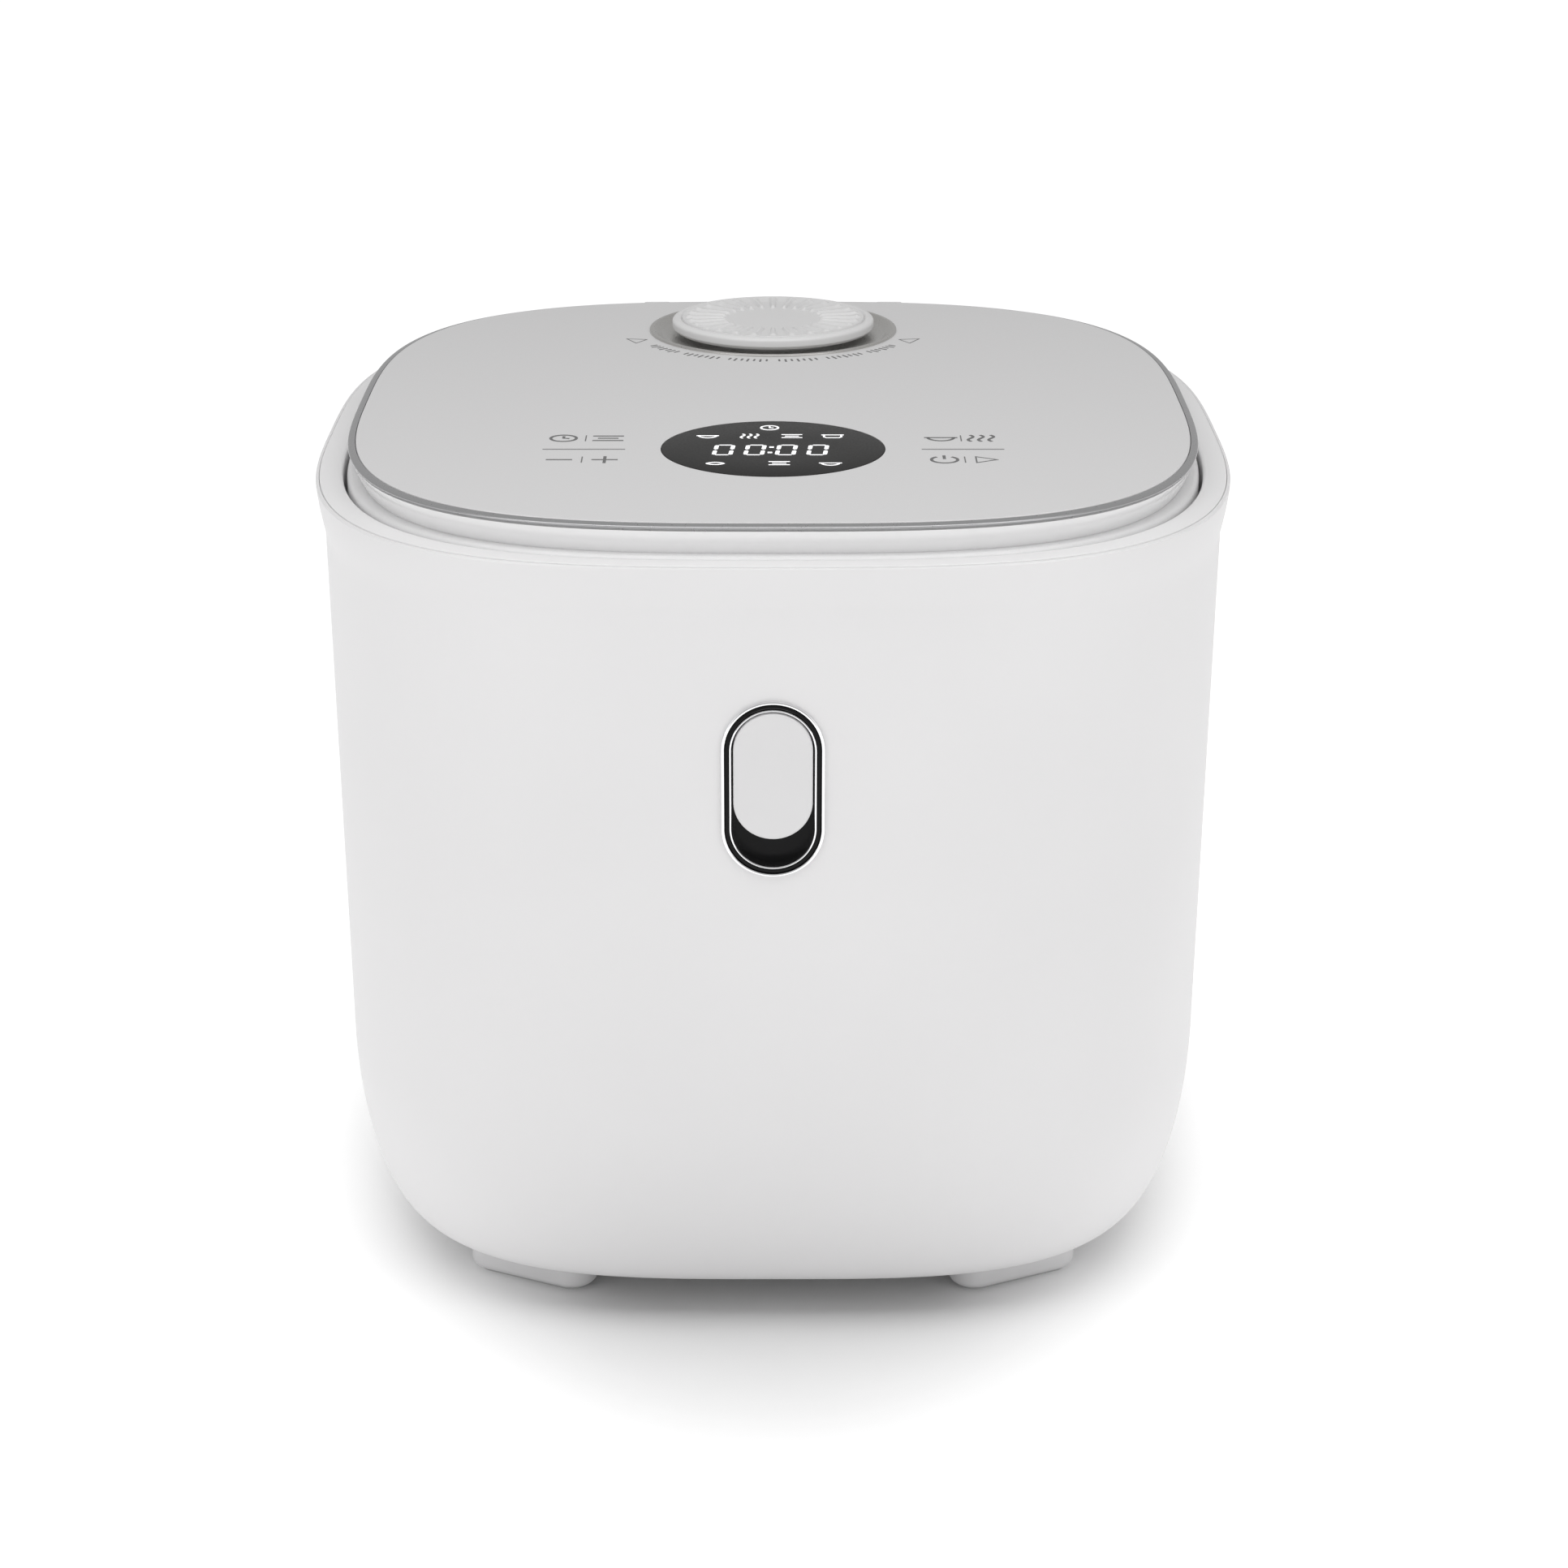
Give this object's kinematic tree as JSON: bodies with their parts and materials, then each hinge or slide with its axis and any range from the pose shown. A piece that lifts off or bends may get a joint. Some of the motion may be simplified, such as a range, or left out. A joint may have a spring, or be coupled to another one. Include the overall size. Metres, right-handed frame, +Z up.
{
  "type": "rice cooker",
  "caption": "Countertop rice cooker with a hinged lid, sliding lid release, lift-out steam cap, removable pot and heating plate.",
  "frame": {"origin": "middle of the footprint on the surface it stands on", "axes": "+Z up, -Y towards the front with the display and the lid release, +X to the right seen from the front"},
  "size_m": [0.245, 0.277, 0.2243],
  "materials": {
    "casing_white": "fine matte moulded",
    "frame_white": "matte moulded",
    "base_white": "matte moulded",
    "pad_rubber": "soft rubber",
    "screw_steel": "plated",
    "can_steel": "galvanised sheet",
    "cast_aluminium": "cast, machined face",
    "heater_sheath": "heat-darkened",
    "ceramic": "ceramic",
    "sensor_aluminium": "spun",
    "spring_steel": "drawn wire",
    "fuse_body": "glazed",
    "pot_coating": "non-stick, fine speckle",
    "basket_steel": "satin",
    "board_green": "solder mask",
    "transformer_tape": "tape",
    "relay_blue": "moulded",
    "capacitor_sleeve": "sleeved",
    "terminal_nylon": "nylon",
    "lead_red": "silicone sleeved",
    "lead_brown": "sleeved",
    "inlet_black": "moulded",
    "pin_nickel": "nickel plated",
    "chrome": "bright plated",
    "well_black": "gloss moulded",
    "button_white": "satin moulded",
    "nylon_grey": "nylon",
    "lid_white": "satin moulded",
    "side_pearl": "gloss pearl",
    "band_grey": "satin metallic",
    "plate_satin": "satin metallic, fine grain",
    "lens_black": "gloss window",
    "digit_white": "lit segments",
    "pad_foam": "foam",
    "bezel_satin": "satin with a bright lip",
    "silicone": "silicone",
    "inner_aluminium": "satin anodised",
    "cap_white": "satin moulded",
    "valve_white": "moulded"
  },
  "bodies": {
    "casing": {"body_shell": "casing_white", "rim_frame": "frame_white", "base_plate": "base_white", "foot_pads": "pad_rubber", "base_screws": "screw_steel", "inner_can": "can_steel", "can_screws": "screw_steel", "heating_plate": "cast_aluminium", "heater_element": "heater_sheath", "plate_spacers": "ceramic", "plate_screws": "screw_steel", "sensor_cup": "can_steel", "sensor_spring": "spring_steel", "fuse_clip": "can_steel", "thermal_fuse": "fuse_body", "inner_pot": "pot_coating", "sugar_basket": "basket_steel", "power_board": "board_green", "transformer": "transformer_tape", "relay": "relay_blue", "capacitors": "capacitor_sleeve", "terminal_block": "terminal_nylon", "heater_leads": "lead_red", "mains_leads": "lead_brown", "ac_inlet": "inlet_black", "inlet_pins": "pin_nickel", "hinge_pin": "screw_steel", "hinge_springs": "spring_steel", "release_bezel": "chrome", "release_well": "well_black", "release_trim": "chrome", "release_spring": "spring_steel", "catch_pin": "screw_steel"},
    "lid": {"lid_shell": "lid_white", "lid_side_ring": "side_pearl", "lid_band": "band_grey", "lid_top_plate": "plate_satin", "display_lens": "lens_black", "digit_module": "digit_white", "display_board": "board_green", "touch_pads": "pad_foam", "vent_bezel": "bezel_satin", "vent_seal": "silicone", "lid_liner": "lid_white", "inner_lid_plate": "inner_aluminium", "lid_gasket": "silicone", "lid_striker": "screw_steel", "lid_screws": "screw_steel"},
    "steam_valve": {"steam_cap": "cap_white", "steam_valve_body": "valve_white"},
    "release": {"release_button": "button_white", "release_slider": "nylon_grey"},
    "catch": {"catch_lever": "nylon_grey"},
    "sensor": {"sensor_cap": "sensor_aluminium"},
    "dew_cup": {"dew_collector": "frame_white"}
  },
  "joints": [
    {"name": "lid_hinge", "type": "hinge", "parent": "casing", "child": "lid", "pos_m": [0, 0.134, 0.2155], "axis": [-1, 0, 0], "range_deg": [0, 85]},
    {"name": "release_slide", "type": "slide", "parent": "casing", "child": "release", "axis": [0, 0.0166, -0.9999], "range_m": [0, 0.006], "stiffness_N_per_m": 300, "springref_m": -0.004, "deforming": ["release_spring"]},
    {"name": "catch_pivot", "type": "hinge", "parent": "casing", "child": "catch", "pos_m": [0, -0.1225, 0.1757], "axis": [1, 0, 0], "range_deg": [0, 12.5]},
    {"name": "steam_cap_lift", "type": "slide", "parent": "lid", "child": "steam_valve", "axis": [0, 0, 1], "range_m": [0, 0.04]},
    {"name": "sensor_press", "type": "slide", "parent": "casing", "child": "sensor", "axis": [0, 0, -1], "range_m": [0, 0.003], "stiffness_N_per_m": 600, "springref_m": -0.003, "deforming": ["sensor_spring"]},
    {"name": "dew_cup_pull", "type": "slide", "parent": "casing", "child": "dew_cup", "axis": [0, 1, 0], "range_m": [0, 0.04]}
  ],
  "couplings": [
    {"joint": "catch_pivot", "follows": "release_slide", "rad_per_m": 34.561}
  ]
}
